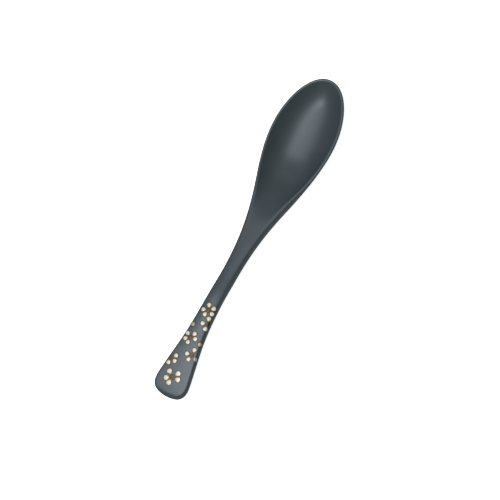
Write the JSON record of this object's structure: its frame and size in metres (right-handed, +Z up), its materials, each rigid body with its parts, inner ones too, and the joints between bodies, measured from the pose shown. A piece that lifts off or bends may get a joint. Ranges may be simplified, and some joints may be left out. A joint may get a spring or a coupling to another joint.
{
  "type": "lacquered table spoon",
  "caption": "Matte dark lacquered wooden table spoon with an egg-shaped bowl, a slim neck and a flared handle end laid with cream five-petal blossoms.",
  "frame": {"origin": "bottom centre of the spoon's box, on the surface that the spoon lies on", "axes": "+X along the spoon towards the tip of the bowl, +Z up out of the hollow, +Y to the left when looking from the handle to the bowl"},
  "size_m": [0.19, 0.038, 0.0144],
  "materials": {
    "body_lacquer": "matte slate-black lacquer over turned and carved wood, fine frosted surface",
    "cream_lacquer": "raised cream lacquer with a soft pearl",
    "bronze_lacquer": "bronze-powder lacquer, dull"
  },
  "bodies": {
    "root": {"flower_a_centre": "bronze_lacquer", "flower_a_petal_1": "cream_lacquer", "flower_a_petal_2": "cream_lacquer", "flower_a_petal_3": "cream_lacquer", "flower_a_petal_4": "cream_lacquer", "flower_a_petal_5": "cream_lacquer", "flower_b_centre": "bronze_lacquer", "flower_b_petal_1": "cream_lacquer", "flower_b_petal_2": "cream_lacquer", "flower_b_petal_3": "cream_lacquer", "flower_c_centre": "bronze_lacquer", "flower_c_petal_1": "cream_lacquer", "flower_c_petal_2": "cream_lacquer", "flower_c_petal_3": "cream_lacquer", "flower_c_petal_4": "cream_lacquer", "flower_c_petal_5": "cream_lacquer", "flower_d_centre": "bronze_lacquer", "flower_d_petal_1": "cream_lacquer", "flower_d_petal_2": "cream_lacquer", "flower_d_petal_3": "cream_lacquer", "flower_d_petal_4": "cream_lacquer", "flower_e_centre": "bronze_lacquer", "flower_e_petal_1": "cream_lacquer", "flower_e_petal_2": "cream_lacquer", "flower_e_petal_3": "cream_lacquer", "flower_f_centre": "bronze_lacquer", "flower_f_petal_1": "cream_lacquer", "flower_f_petal_2": "cream_lacquer", "flower_f_petal_3": "cream_lacquer", "flower_f_petal_4": "cream_lacquer", "flower_f_petal_5": "cream_lacquer", "flower_g_petal_1": "cream_lacquer", "flower_h_petal_1": "cream_lacquer", "spoon_body": "body_lacquer"}
  },
  "joints": []
}
